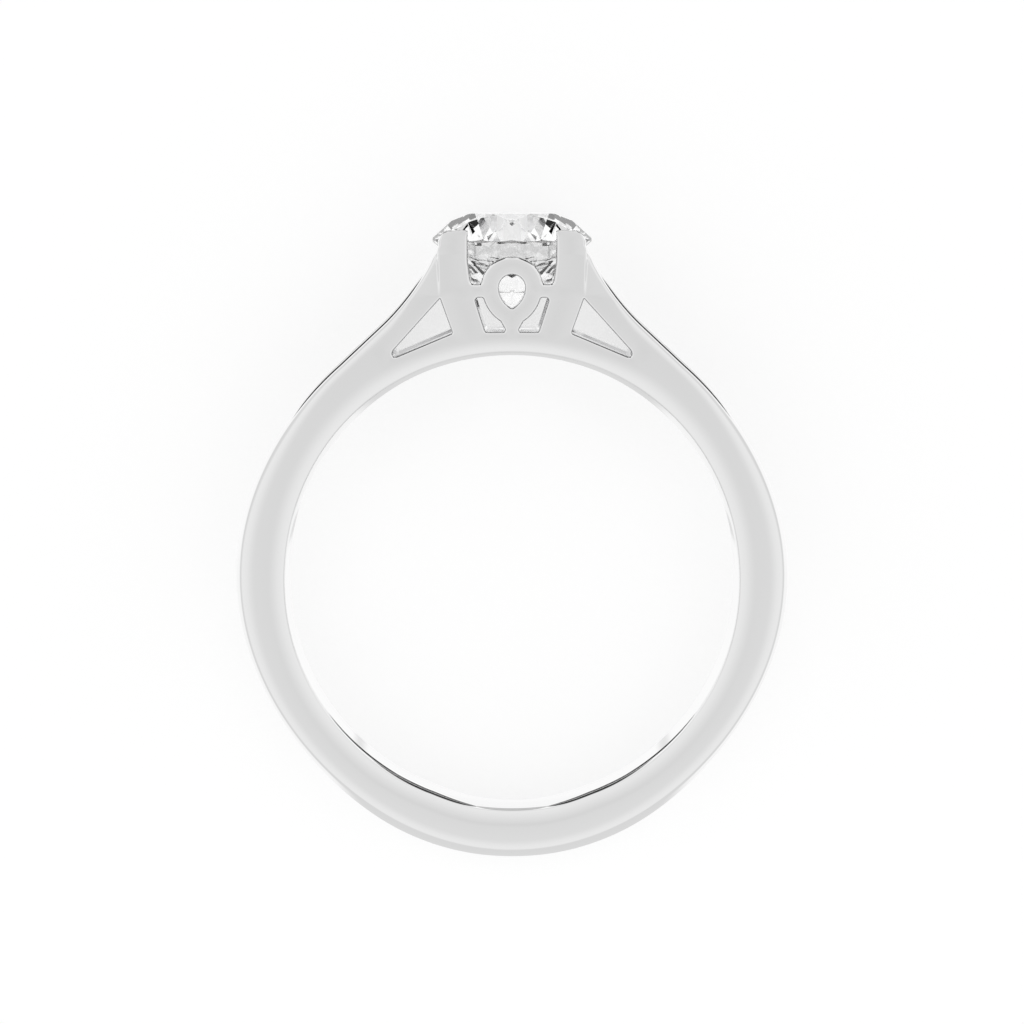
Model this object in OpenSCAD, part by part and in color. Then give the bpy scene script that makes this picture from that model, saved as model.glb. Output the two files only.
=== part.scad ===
// Split shank solitaire ring, with one round brilliant stone.
//
// The ring is drawn upright: X runs across the finger, Y from the palm side up to the stone and
// Z along the finger, with the finger hole's centre at the origin. Its front and back sides are
// planes that lean apart towards the head, so the ring is narrow at the palm and wide at the head.
// At the end it is laid on its back side, which is then flat on the surface below it.

/* [Finger hole] */
// Inside diameter at the middle of the ring's width
finger_d = 16.5; // [16:0.05:17]
// How much the hole widens at its two rims, on the radius
comfort_rise = 0.16; // [0.1:0.01:0.2]
// How far in from the side that easing starts
comfort_depth = 0.6; // [0.4:0.05:0.7]

/* [Shank] */
// Outside diameter over the crown of the band
band_d = 20.22; // [20.1:0.02:20.3]
// How far the outside circle sits below the hole's centre, for a stouter palm side
band_drop = 0.15; // [0.1:0.01:0.2]
// Diameter of the band's side faces at their outer edge
side_d = 19.82; // [19.7:0.02:19.9]
// How far that edge's circle sits below the hole's centre
side_drop = 0.04; // [0:0.02:0.1]
// Radius of the flatter stretch of the outside between the palm and each side
flat_r = 12; // [11.5:0.1:13]
// Where that stretch is, in degrees up from the lowest point
flat_turn = 52; // [48:1:56]
// Its distance from the hole's centre over the crown, and at the side faces
flat_crown = 9.9; // [9.86:0.01:9.96]
flat_edge = 9.67; // [9.62:0.01:9.74]
// How far in from the side the crown of the band reaches
crown_depth = 0.9; // [0.7:0.05:0.95]
// How far the crown would rise above the outside circle if it weren't turned down to it
crown_spare = 0.25; // [0.2:0.01:0.3]
// Width of the ring along the finger at the palm
palm_w = 2; // [1.95:0.05:2.2]
// Lean of each side face away from the middle plane, in degrees
taper = 5; // [4.9:0.05:5.2]

/* [Split] */
// Height above the hole's centre where the band parts in two
split_y = 5.4; // [5:0.1:6]
// Radius of the rounded root of the split
split_root_r = 0.25; // [0.15:0.05:0.3]
// Height at which the split has its full width
split_full_y = 8.6; // [8.2:0.1:9]
// Thickness of each strand and of each prong, along the finger
strand_t = 1.25; // [1.1:0.05:1.4]

/* [Shoulders] */
// Where the straight stretch of the shoulder leaves the band, across and up
shoulder_start = [6.2, 7.97];
// Rise of that stretch, in degrees
shoulder_rise = 44; // [43:0.5:45]
// Length of that stretch
shoulder_run = 2.18; // [2:0.02:2.4]
// Radius of the hollow sweep from there up to the prong
sweep_r = 8.6; // [8.2:0.1:9]
// Angle of that sweep, in degrees
sweep_angle = 21.5; // [20:0.5:22]
// Radius of the round that sinks the shoulder's root into the band
dive_r = 5; // [4.5:0.1:5.5]

/* [Triangular opening] */
// Top corner, beside the prong, across and up
window_top = [2.57, 10.45];
// Inner corner, at the foot of the prong
window_foot = [2.1, 9.12];
// The two corners of its blunt tip, down the shoulder, before they are rounded
window_low = [4.38, 8.16];
window_high = [4.35, 8.5];
// Radii of those two corners
window_low_r = 0.14; // [0.1:0.01:0.14]
window_high_r = 0.2; // [0.1:0.01:0.2]
// Radius of the inner corner
window_foot_r = 0.08; // [0.05:0.01:0.12]

/* [Head] */
// Top of the prongs, above the hole's centre
prong_top = 12.82; // [12.75:0.01:12.9]
// Half the head's width over the prongs, at their tops
prong_out = 2.67; // [2.62:0.01:2.72]
// Half the clear width between the two prongs of one side, at their tops
prong_in = 1.62; // [1.58:0.01:1.66]
// Height down to which that width is kept
prong_knee = 11.75; // [11.6:0.05:11.9]
// Radius of the outer top corner of a prong
prong_corner_r = 0.26; // [0.1:0.02:0.3]
// Radius of the inner top corner of a prong
prong_inner_r = 0.06; // [0.04:0.01:0.1]
// Floor of the open bays between the prongs and the arch
bay_floor = 10.92; // [10.86:0.01:10.96]
// Half the width between the prongs at that floor
bay_half_w = 1.48; // [1.44:0.01:1.52]
// Radius in the corners of that floor
bay_corner_r = 0.12; // [0.06:0.01:0.16]
// Thickness of the pierced plate between the prongs
plate_t = 0.85; // [0.7:0.05:1]

/* [Arch and teardrop] */
// Centre of the arch and of the teardrop, above the hole's centre
arch_y = 10.78; // [10.74:0.01:10.82]
// Outer radius of the arch
arch_r = 1.12; // [1.05:0.01:1.15]
// Radius of the teardrop's round top
tear_r = 0.51; // [0.45:0.01:0.55]
// Radius of the teardrop's two long sides
tear_side_r = 0.87; // [0.84:0.01:0.9]
// Thickness of the band of metal along those sides
tear_band = 0.53; // [0.5:0.01:0.56]
// Radius of the teardrop's blunt point
tear_point_r = 0.1; // [0.05:0.01:0.15]

/* [Slots] */
// Floor of the two slots, which is also the top of the base
slot_floor = 9.14; // [9.1:0.01:9.2]
// Outer corner of a slot at its top, before it is rounded, across and up
slot_head = [1.41, 10.46];
// Outer corner at the floor, before it is rounded, across
slot_heel = 0.99; // [0.95:0.01:1.03]
// Clear width of a slot near its top
slot_w = 0.365; // [0.3:0.005:0.4]
// Inner corner at the floor, before it is rounded, across
slot_toe = 0.13; // [0.1:0.01:0.2]
// Corner radius, and that of the inner corner at the floor
slot_r = 0.15; // [0.1:0.01:0.16]
slot_toe_r = 0.12; // [0.08:0.01:0.12]

/* [Base and side rails] */
// Half the length of the solid base under the head
base_half_l = 1.76; // [1.6:0.02:2]
// Lower and upper edge of a side rail
rail_y = [10.45, 10.95];
// Inner and outer face of a side rail
rail_x = [1.75, 2.45];

/* [Stone] */
// Diameter over the girdle
stone_d = 5.8; // [5.7:0.05:5.9]
// Middle of the girdle above the hole's centre
girdle_y = 12.43; // [12.4:0.01:12.5]
// Thickness of the girdle
girdle_t = 0.12; // [0.08:0.01:0.16]
// Table, as a share of the diameter, over its corners
table_share = 0.57; // [0.53:0.01:0.62]
// Angle of the kite facets to the girdle plane, in degrees
crown_angle = 36; // [34:0.5:37]
// Angle of the pavilion mains to the girdle plane, in degrees
pavilion_angle = 40.2; // [39:0.1:41.5]
// How far down from the girdle the lower girdle facets reach, as a share of the radius
lower_share = 0.77; // [0.7:0.01:0.85]
// Clearance between the stone and its seat
seat_gap = 0.03; // [0.02:0.005:0.05]

/* [Hidden] */
$fn = 96;

finger_r = finger_d / 2;
band_r = band_d / 2;
side_r = side_d / 2;
stone_r = stone_d / 2;
arc_steps = 6;
// Reach of the cutting and stock shapes past the metal
far = 16;
// How far a piece above the finger hole reaches into it before the hole is cut
sunk = 0.4;
// How far a cut is carried on outside the metal
spare = 1;

// Half the ring's width at a height above the hole's centre
function half_w(y) = palm_w / 2 + (y + band_r) * tan(taper);

// Points along an arc, as pairs
function arc(centre, r, from, to, steps = arc_steps) =
    [for (i = [0 : steps]) let (a = from + (to - from) * i / steps) centre + r * [cos(a), sin(a)]];

// The same points without the first and the last
function inner(points) = [for (i = [1 : len(points) - 2]) points[i]];

function unit(v) = v / norm(v);

// One corner of a polygon, cut by an arc of radius r that touches both of its edges
function corner_arc(before, at, after, r) =
    let (
        u = unit(before - at),
        v = unit(after - at),
        half = acos(u * v) / 2,
        middle = at + unit(u + v) * r / sin(half),
        p = at + u * r / tan(half) - middle,
        q = at + v * r / tan(half) - middle,
        start = atan2(p[1], p[0]),
        turn = atan2(p[0] * q[1] - p[1] * q[0], p * q)
    )
    arc(middle, r, start, start + turn);

// A polygon from rows of [across, up, corner radius]
function rounded(rows) =
    [for (i = [0 : len(rows) - 1])
        let (
            n = len(rows),
            b = rows[(i + n - 1) % n],
            c = rows[i],
            a = rows[(i + 1) % n],
            here = [c[0], c[1]]
        )
        each c[2] > 0
            ? corner_arc([b[0], b[1]], here, [a[0], a[1]], c[2])
            : [here]];

// Draws its children on the right and again, mirrored, on the left
module both_sides() {
    children();
    mirror([1, 0, 0]) children();
}

// Draws its children on the front and again, mirrored, on the back
module front_and_back() {
    children();
    mirror([0, 0, 1]) children();
}

// Puts its children on the front side face: their Z = 0 plane is the face, and +Z points out
module on_side_face() {
    translate([0, 0, half_w(0)]) rotate([taper, 0, 0]) children();
}

// A bar along X whose section is a polygon in up and along-the-finger coordinates
module along_x(points, half_l) {
    rotate([90, 0, 90]) linear_extrude(2 * half_l, center = true) polygon(points);
}

// The space between the two side planes
module between_sides(half_l = far) {
    along_x([[-far, -half_w(-far)], [far, -half_w(far)], [far, half_w(far)], [-far, half_w(-far)]], half_l);
}

// Stock under the front side face, crowned down to a circle on that face
module crowned_to(edge_r, centre) {
    crown_rise = band_r + crown_spare - side_r;
    flare = 2 * far * tan(taper);
    steps = 5;
    crown = [for (i = [0 : steps]) let (d = crown_depth * i / steps, k = 1 - d / crown_depth)
        [edge_r + crown_rise * (1 - k * k), -d]];
    on_side_face() translate([centre[0], centre[1], 0]) rotate_extrude()
        polygon(concat([[0, 0]], crown, [[edge_r + crown_rise + flare, -far], [0, -far]]));
}

// Round stock about a centre, turned down to its own circle on each side face
module crowned_round(crown_r, crown_centre, edge_r, edge_centre) {
    intersection() {
        translate([crown_centre[0], crown_centre[1], 0]) cylinder(h = 2 * far, r = crown_r, center = true);
        crowned_to(edge_r, edge_centre);
        mirror([0, 0, 1]) crowned_to(edge_r, edge_centre);
    }
}

// The larger round that flattens the band between the palm and the right side
module flatter_round() {
    centre = (flat_crown - flat_r) * [sin(flat_turn), -cos(flat_turn)];
    crowned_round(flat_r, centre, flat_r - flat_crown + flat_edge, centre);
}

// The shank: a round band, a little flatter in two places, crowned towards both sides
module band() {
    intersection() {
        crowned_round(band_r, [0, -band_drop], side_r, [0, -side_drop]);
        flatter_round();
        mirror([1, 0, 0]) flatter_round();
        between_sides();
    }
}

// Outline of one shoulder, from inside the band up to the prong
module shoulder_outline() {
    // Two points inside the band, where the outline is buried
    core = [-sunk, 6];
    root = [finger_r, 2.4];
    prong_x = (prong_in + prong_out) / 2;
    out = [sin(shoulder_rise), cos(shoulder_rise)];
    along = [-cos(shoulder_rise), sin(shoulder_rise)];
    dive_centre = shoulder_start - dive_r * out;
    sweep_start = shoulder_start + shoulder_run * along;
    sweep_centre = sweep_start + sweep_r * out;
    sweep_from = 270 - shoulder_rise;
    polygon(concat(
        [core, root],
        arc(dive_centre, dive_r, 0, 90 - shoulder_rise, 8),
        arc(sweep_centre, sweep_r, sweep_from, sweep_from - sweep_angle, 8),
        [[prong_x, prong_knee], [prong_x, slot_floor], [-sunk, slot_floor]]
    ));
}

// Opening between the upper arm and the lower bridge
module window_outline() {
    polygon(rounded([
        [window_top[0], window_top[1], 0],
        [window_foot[0], window_foot[1], window_foot_r],
        [window_low[0], window_low[1], window_low_r],
        [window_high[0], window_high[1], window_high_r]
    ]));
}

// The teardrop: a round top, two long sides that lean together, and a small round point
module teardrop_outline() {
    offset_x = tear_side_r - tear_r;
    reach = acos(offset_x / (tear_side_r - tear_point_r));
    point_y = arch_y - offset_x * tan(reach);
    polygon(concat(
        inner(arc([0, arch_y], tear_r, 0, 180, 12)),
        arc([offset_x, arch_y], tear_side_r, 180, 180 + reach),
        inner(arc([0, point_y], tear_point_r, 180 + reach, 360 - reach)),
        arc([-offset_x, arch_y], tear_side_r, -reach, 0)
    ));
}

// One slot below the arch, following the teardrop's side on its inner edge
module slot_outline() {
    offset_x = tear_side_r - tear_r;
    // The stretch of the inner edge between its two corners, in degrees
    low_end = -58;
    high_end = -16;
    inner_edge = arc([-offset_x, arch_y], tear_side_r + tear_band, low_end, high_end, 7);
    polygon(rounded(concat(
        [
            [slot_head[0], slot_head[1], slot_r],
            [slot_heel, slot_floor, slot_r],
            [slot_toe, slot_floor, slot_toe_r]
        ],
        [for (p = inner_edge) [p[0], p[1], 0]],
        [[slot_head[0] - slot_w, slot_head[1], slot_r]]
    )));
}

// Outline of the front of the head: two prongs, the arch and the plate below it
module head_outline() {
    both_sides() polygon(rounded([
        [-sunk, finger_r - sunk, 0],
        [base_half_l, finger_r - sunk, 0],
        [window_foot[0], window_foot[1], 0],
        [window_top[0], window_top[1], 0],
        [prong_out, prong_top, prong_corner_r],
        [prong_in, prong_top, prong_inner_r],
        [prong_in, prong_knee, 0],
        [bay_half_w, bay_floor, bay_corner_r],
        [-sunk, bay_floor, 0]
    ]));
    translate([0, arch_y]) circle(r = arch_r);
}

// All that is pierced from front to back: the triangles, the slots and the teardrop
module openings() {
    linear_extrude(2 * far, center = true) {
        both_sides() window_outline();
        both_sides() slot_outline();
        teardrop_outline();
    }
}

// The split: a wedge of air between the front and the back strand, open towards the head
module split_gap() {
    full = half_w(split_full_y) - strand_t;
    end_y = prong_top + spare;
    root = split_y + split_root_r;
    lean = atan2(full - split_root_r, split_full_y - root);
    along_x(concat(
        arc([root, 0], split_root_r, 90 + lean, 270 - lean),
        [[split_full_y, -full], [end_y, strand_t - half_w(end_y)], [end_y, half_w(end_y) - strand_t], [split_full_y, full]]
    ), far);
}

// The shoulders and the front outline of the head, as wide as the ring
module arms_and_plates() {
    intersection() {
        linear_extrude(2 * far, center = true) union() {
            both_sides() shoulder_outline();
            head_outline();
        }
        between_sides();
    }
}

// Air behind the two pierced plates, between the prongs
module behind_plates() {
    top = prong_top + spare;
    along_x([
        [slot_floor, plate_t - half_w(slot_floor)],
        [top, plate_t - half_w(top)],
        [top, half_w(top) - plate_t],
        [slot_floor, half_w(slot_floor) - plate_t]
    ], bay_half_w);
}

// Solid base that joins the strands under the head
module base() {
    intersection() {
        translate([-base_half_l, finger_r - sunk, -far])
            cube([2 * base_half_l, slot_floor - finger_r + sunk, 2 * far]);
        between_sides();
    }
}

// Plain bar between the front and the back prong on one side
module side_rail() {
    half_l = half_w(rail_y[0]) - strand_t / 2;
    translate([rail_x[0], rail_y[0], -half_l]) cube([rail_x[1] - rail_x[0], rail_y[1] - rail_y[0], 2 * half_l]);
}

// Finger hole, cut right through, with its two eased rims: a steeper cone from the side face and
// a gentler one below it, which is carried on past the hole's wall, so that it ends in air
module finger_hole() {
    middle_rise = comfort_rise / 3;
    cylinder(h = 2 * far, r = finger_r, center = true);
    front_and_back() on_side_face() rotate_extrude() polygon([
        [0, spare],
        [finger_r + comfort_rise, spare],
        [finger_r + comfort_rise, 0],
        [finger_r + middle_rise, -comfort_depth / 2],
        [finger_r - 2 * middle_rise, -2 * comfort_depth],
        [0, -2 * comfort_depth]
    ]);
}

// Space of the stone, a little larger, which the prongs' notches fit: a cone under the girdle,
// the girdle, and a cone as steep as the facets above it, up to a plain hole over the table
module seat() {
    r = stone_r + seat_gap;
    steepness = (star_y - upper_y) / (stone_r - star_r);
    low = girdle_y - girdle_t / 2 - seat_gap;
    high = girdle_y + girdle_t / 2 + seat_gap;
    // Radius of the plain hole over the table, inside the prongs
    open_r = 1.5;
    rotate([-90, 0, 0]) rotate_extrude() polygon([
        [0, low - r * tan(pavilion_angle)],
        [r, low],
        [r, high],
        [open_r, high + (r - open_r) * steepness],
        [open_r, far],
        [0, far]
    ]);
}

// Lays the upright ring on its back side, with its middle over the origin
module laid() {
    top_y = table_y * cos(taper) + table_r * cos(22.5) * sin(taper);
    bottom_y = -(band_r + band_drop) * cos(taper);
    translate([0, -(top_y + bottom_y) / 2, half_w(0) * cos(taper)]) rotate([taper, 0, 0]) children();
}

// Facet corners of the stone, each ring of them with its radius and height
table_r = stone_r * table_share;
upper_y = girdle_y + girdle_t / 2;
lower_y = girdle_y - girdle_t / 2;
table_y = upper_y + (stone_r - table_r) * tan(crown_angle);
star_r = (table_r * cos(22.5) + stone_r) / 2;
star_y = upper_y + (stone_r - star_r * cos(22.5)) * tan(crown_angle);
pit_r = stone_r * (1 - lower_share);
pit_y = lower_y - (stone_r - pit_r * cos(22.5)) * tan(pavilion_angle);
culet_y = lower_y - stone_r * tan(pavilion_angle);

function ring_of(count, first, r, y) =
    [for (i = [0 : count - 1]) let (a = first + 360 * i / count) [r * cos(a), y, -r * sin(a)]];

module ring_mount() {
    color([0.9, 0.9, 0.91]) laid() difference() {
        union() {
            difference() {
                union() {
                    band();
                    arms_and_plates();
                }
                split_gap();
                behind_plates();
                openings();
            }
            base();
            both_sides() side_rail();
        }
        finger_hole();
        seat();
    }
}

// Round brilliant: eight stars and kites over a 32-sided girdle, with its pavilion below
module centre_stone() {
    girdle_n = 32;
    table = 0;
    star = 8;
    upper = 16;
    lower = upper + girdle_n;
    pit = lower + girdle_n;
    culet = pit + 8;
    points = concat(
        ring_of(8, 22.5, table_r, table_y),
        ring_of(8, 0, star_r, star_y),
        ring_of(girdle_n, 0, stone_r, upper_y),
        ring_of(girdle_n, 0, stone_r, lower_y),
        ring_of(8, 0, pit_r, pit_y),
        [[0, culet_y, 0]]
    );
    faces = concat(
        [[for (k = [0 : 7]) table + k]],
        [for (k = [0 : 7]) [table + (k + 7) % 8, star + k, table + k]],
        [for (k = [0 : 7]) [table + k, star + k, upper + 4 * k + 2, star + (k + 1) % 8]],
        [for (k = [0 : 7], j = [0, 1]) [star + k, upper + 4 * k + j, upper + 4 * k + j + 1]],
        [for (k = [0 : 7], j = [0, 1]) [star + k, upper + (4 * k + 31 - j) % 32, upper + (4 * k + 32 - j) % 32]],
        [for (i = [0 : girdle_n - 1]) [upper + i, lower + i, lower + (i + 1) % girdle_n, upper + (i + 1) % girdle_n]],
        [for (k = [0 : 7], j = [0, 1]) [pit + k, lower + 4 * k + j + 1, lower + 4 * k + j]],
        [for (k = [0 : 7], j = [0, 1]) [pit + k, lower + (4 * k + 32 - j) % 32, lower + (4 * k + 31 - j) % 32]],
        [for (k = [0 : 7]) [culet, pit + (k + 1) % 8, lower + 4 * k + 2, pit + k]]
    );
    color([0.95, 0.97, 1]) laid() polyhedron(points, [for (f = faces) [for (i = [len(f) - 1 : -1 : 0]) f[i]]]);
}

ring_mount();
centre_stone();
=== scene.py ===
# %% [markdown]
# # A split shank solitaire ring
# The ring is one casting of polished white metal with one round stone. It lies on its side on a
# pale table, and the camera looks straight down at it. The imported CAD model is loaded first. It
# says where everything is, and the pieces made here take its place with finer edges and curves.

# %% The CAD frame
import bmesh
import bpy
import numpy as np
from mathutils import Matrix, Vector
from mathutils.geometry import delaunay_2d_cdt


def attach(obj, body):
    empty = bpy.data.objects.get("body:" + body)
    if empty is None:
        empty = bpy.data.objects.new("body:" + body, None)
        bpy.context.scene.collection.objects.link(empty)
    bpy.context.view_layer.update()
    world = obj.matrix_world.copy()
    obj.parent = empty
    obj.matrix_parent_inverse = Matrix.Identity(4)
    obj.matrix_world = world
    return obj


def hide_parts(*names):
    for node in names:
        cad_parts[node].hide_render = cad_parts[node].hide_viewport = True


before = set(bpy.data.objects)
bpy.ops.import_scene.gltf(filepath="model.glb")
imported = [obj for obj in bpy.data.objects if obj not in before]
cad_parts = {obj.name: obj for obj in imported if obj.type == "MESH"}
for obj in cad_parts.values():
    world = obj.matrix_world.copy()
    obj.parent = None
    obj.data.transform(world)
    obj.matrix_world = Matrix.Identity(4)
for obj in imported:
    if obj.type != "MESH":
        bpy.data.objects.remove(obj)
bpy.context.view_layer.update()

# %% [markdown]
# ## The ring stands up while it is drawn
# A ring is easiest to draw upright: x across the finger, y up to the stone, z along the finger, in
# millimetres from the centre of the finger hole. Its two sides are planes that lean apart by the
# taper, so the ring is narrow at the palm and wide at the head. `laid` turns finished points by
# that same angle, so that the back side is flat on the table, and gives them in metres. Points
# closer together than `MERGE` count as one.

# %% Sizes of the ring
TAPER = np.radians(5)
PALM_W = 2.0
BAND_R = 10.11
HOLE_R = 8.25
HOLE_SHIFT = np.array([0, -1.6286, 1.8773])
MERGE = 2e-4


def half_width(y):
    """Half the ring's width along the finger at height y: half the palm's width, and the lean of
    the side plane times the height above the lowest point."""
    return PALM_W / 2 + (y + BAND_R) * np.tan(TAPER)


def laid(points):
    """Upright millimetres to metres on the table: a turn about x by the taper, then a shift."""
    x, y, z = np.asarray(points, float).T
    c, s = np.cos(TAPER), np.sin(TAPER)
    return (np.stack([x, y * c - z * s, y * s + z * c], 1) + HOLE_SHIFT) / 1000


print("width at the palm and at the prongs:", 2 * half_width(-BAND_R), round(2 * half_width(12.8), 2))

# %% [markdown]
# ## Camera
# The photograph is taken from straight above with a long lens, so the ring's sides hardly open up.
# The camera stands 165 mm above the ring's middle, over a point between the hole and the head.

# %% Camera
camera_data = bpy.data.cameras.new("camera")
camera_data.lens = 157.85
camera_data.sensor_width = 36
camera_data.clip_start = 0.01
camera_data.clip_end = 5
camera = bpy.data.objects.new("camera", camera_data)
camera.location = (0, 0.000811, 0.16687)
bpy.context.scene.collection.objects.link(camera)
bpy.context.scene.camera = camera
print("camera height in mm:", 1000 * camera.location.z)

# %% [markdown]
# ## Outlines
# Seen from the front, the ring is a flat figure with holes in it: the outer outline, the finger
# hole, a triangle in each shoulder, and in the head two slots and a teardrop. Each outline is a
# closed loop of points. Going along a loop, the metal is always on the left, so one rule finds
# the direction into the metal on all of them.


# %% Points along lines, arcs and rounded corners
def arc(centre, r, start, end, n):
    """n + 1 points at radius r from a centre, from one angle in degrees to another."""
    a = np.radians(np.linspace(start, end, n + 1))
    return np.stack([centre[0] + r * np.cos(a), centre[1] + r * np.sin(a)], 1)


def line(a, b, n):
    """n + 1 evenly spaced points from a to b."""
    t = np.linspace(0, 1, n + 1)[:, None]
    return np.array(a, float) * (1 - t) + np.array(b, float) * t


def corner(before, at, after, r, n=8):
    """A corner cut by an arc that touches both edges: the arc's centre lies on the bisector, at the
    radius divided by the sine of half the angle."""
    before, at, after = (np.array(p, float) for p in (before, at, after))
    u = (before - at) / np.linalg.norm(before - at)
    v = (after - at) / np.linalg.norm(after - at)
    half = np.arccos(np.clip(u @ v, -1, 1)) / 2
    middle = at + (u + v) / np.linalg.norm(u + v) * r / np.sin(half)
    p, q = at + u * r / np.tan(half) - middle, at + v * r / np.tan(half) - middle
    start = np.degrees(np.arctan2(p[1], p[0]))
    turn = np.degrees(np.arctan2(p[0] * q[1] - p[1] * q[0], p @ q))
    return arc(middle, r, start, start + turn, n)


def rounded(rows):
    """A closed loop from rows of (x, y, corner radius); a radius of 0 keeps the point."""
    parts = []
    for i, (x, y, r) in enumerate(rows):
        before, after = rows[i - 1][:2], rows[(i + 1) % len(rows)][:2]
        parts.append(corner(before, (x, y), after, r) if r else np.array([[x, y]], float))
    return np.concatenate(parts)


def mirrored(points):
    """The path on the other side of x = 0, in the opposite order."""
    return points[::-1] * [-1, 1]


def from_palm(turn):
    """Unit directions at turns in degrees round the hole, from straight down at the palm."""
    a = np.radians(turn)
    return np.stack([np.sin(a), -np.cos(a)], 1)


print("a corner of radius 1 has", len(corner((0, 5), (0, 0), (5, 0), 1)), "points")

# %% [markdown]
# ## The outer outline
# A shank that was forged and filed by hand is never quite a circle. This one is a little flatter
# at the lower corners than at the palm and the sides, so its radius is a circle's plus three small
# cosine waves. Above the sides it runs off into the shoulder, a straight stretch and then a hollow
# sweep up to the prong. Over the head the outline goes round the prong, down into the open bay and
# over the arch. Half of it is drawn, and the other half is its mirror image.

# %% The outer outline
SHANK_R = 9.976
SHANK_WAVES = ((1, -0.192), (2, 0.154), (4, 0.096))
SHANK_END = 142
SHOULDER_HIGH = (4.6, 9.456)
SWEEP_R = 8.6
SWEEP_TILT = 44
SWEEP_END = 204.5
PRONG_TOP = 12.82
PRONG_RISE = 0.03
PRONG_OUT = (2.57, 2.67)
PRONG_IN = 1.59
BAY_FLOOR = 10.92
ARCH = (0, 10.78)
ARCH_R = 1.12


def shank_radius(turn):
    """Radius of the outer edge at a turn in degrees round the hole, from 0 at the palm: the
    circle's radius plus each wave's height times the cosine of its number of turns."""
    return SHANK_R + sum(height * np.cos(np.radians(turns * turn)) for turns, height in SHANK_WAVES)


turns = np.linspace(0, SHANK_END, 143)
shank_edge = shank_radius(turns)[:, None] * from_palm(turns)
to_centre = np.array([np.sin(np.radians(SWEEP_TILT)), np.cos(np.radians(SWEEP_TILT))])
sweep_centre = np.array(SHOULDER_HIGH) + SWEEP_R * to_centre
sweep = arc(sweep_centre, SWEEP_R, 270 - SWEEP_TILT, SWEEP_END, 24)
prong_foot = (2.655, 12.3)
prong_outside = (PRONG_OUT[1], PRONG_TOP - PRONG_RISE)
prong_inside = (PRONG_IN, PRONG_TOP + PRONG_RISE)
bay_arch_angle = 14
outline_right = np.concatenate([
    shank_edge,
    line(shank_edge[-1], SHOULDER_HIGH, 12)[1:-1],
    sweep,
    line(sweep[-1], prong_foot, 4)[1:],
    corner(prong_foot, prong_outside, prong_inside, 0.42, 14),
    corner(prong_outside, prong_inside, (PRONG_IN, 11.75), 0.11),
    line((PRONG_IN, 12.7), (PRONG_IN, 12), 16),
    corner((PRONG_IN, PRONG_TOP), (PRONG_IN, 11.75), (1.48, BAY_FLOOR), 2.0),
    corner((PRONG_IN, 11.75), (1.48, BAY_FLOOR), (1, BAY_FLOOR), 0.14),
    corner((1.4, BAY_FLOOR), (1.118, BAY_FLOOR), (1.085, 11.06), 0.09),
    arc(ARCH, ARCH_R, bay_arch_angle, 90, 40),
])
outer = np.concatenate([outline_right, mirrored(outline_right)[1:-1]])
lowest, highest = outer[:, 1].min(), outer[:, 1].max()
print("outer outline:", len(outer), "points, from y", lowest.round(2), "to", highest.round(2))

# %% [markdown]
# ## The inner outlines
# The finger hole is a true circle in its middle, and its rim opens a little at the palm and towards
# the head. The triangle has a sharp top beside the prong and a blunt tip down the shoulder. The
# slots follow the teardrop at an even distance, so a band of metal of constant width runs round it.

# %% The finger hole, the triangles, the slots and the teardrop
def smooth_step(value, low, high):
    """0 up to low and 1 from high on, with the curve 3tt - 2ttt between them."""
    t = np.clip((value - low) / (high - low), 0, 1)
    return t * t * (3 - 2 * t)


def rim_radius(turn):
    """Radius of the finger hole's wall where it leaves the edge: the hole's own, and a smooth step
    more near the palm and above the sides, a little less again under the head."""
    near_palm = HOLE_R + 0.14 * smooth_step(-turn, -25, -5)
    return near_palm + 0.2 * smooth_step(turn, 85, 150) - 0.03 * smooth_step(turn, 155, 180)


rim_turns = np.linspace(-180, 180, 360, endpoint=False)
hole = rim_radius(np.abs(rim_turns))[:, None] * from_palm(rim_turns)

triangle = rounded([(2.575, 10.46, 0.05), (4.34, 8.5, 0.28), (4.37, 8.16, 0.14), (2.1, 9.12, 0.08)])

TEAR_R = 0.51
TEAR_SIDE_R = 0.87
TEAR_POINT_R = 0.1
TEAR_BAND = 0.53
tear_shift = TEAR_SIDE_R - TEAR_R
tear_reach = np.degrees(np.arccos(tear_shift / (TEAR_SIDE_R - TEAR_POINT_R)))
tear_point = ARCH[1] - tear_shift * np.tan(np.radians(tear_reach))
teardrop = np.concatenate([
    arc(ARCH, TEAR_R, 0, 180, 32)[1:-1],
    arc((tear_shift, ARCH[1]), TEAR_SIDE_R, 180, 180 + tear_reach, 20),
    arc((0, tear_point), TEAR_POINT_R, 180 + tear_reach, 360 - tear_reach, 8)[1:-1],
    arc((-tear_shift, ARCH[1]), TEAR_SIDE_R, -tear_reach, 0, 20),
])[::-1]

slot_edge = arc((-tear_shift, ARCH[1]), TEAR_SIDE_R + TEAR_BAND, -58, -16, 20)
slot_rows = [(1.41, 10.46, 0.15), (0.99, 9.14, 0.15), (0.13, 9.14, 0.12)]
slot_rows += [(x, y, 0) for x, y in slot_edge] + [(1.045, 10.46, 0.15)]
slot = rounded(slot_rows)


def metal_on_left(loop):
    """A hole's loop in clockwise order: its signed area, half the sum of the cross products of
    neighbours, is then negative."""
    ahead = np.roll(loop, -1, axis=0)
    area = (loop[:, 0] * ahead[:, 1] - ahead[:, 0] * loop[:, 1]).sum() / 2
    return loop if area < 0 else loop[::-1]


holes = [metal_on_left(loop) for loop in (hole, triangle, mirrored(triangle), slot, mirrored(slot), teardrop)]
print("points in the holes:", [len(loop) for loop in holes])

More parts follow.
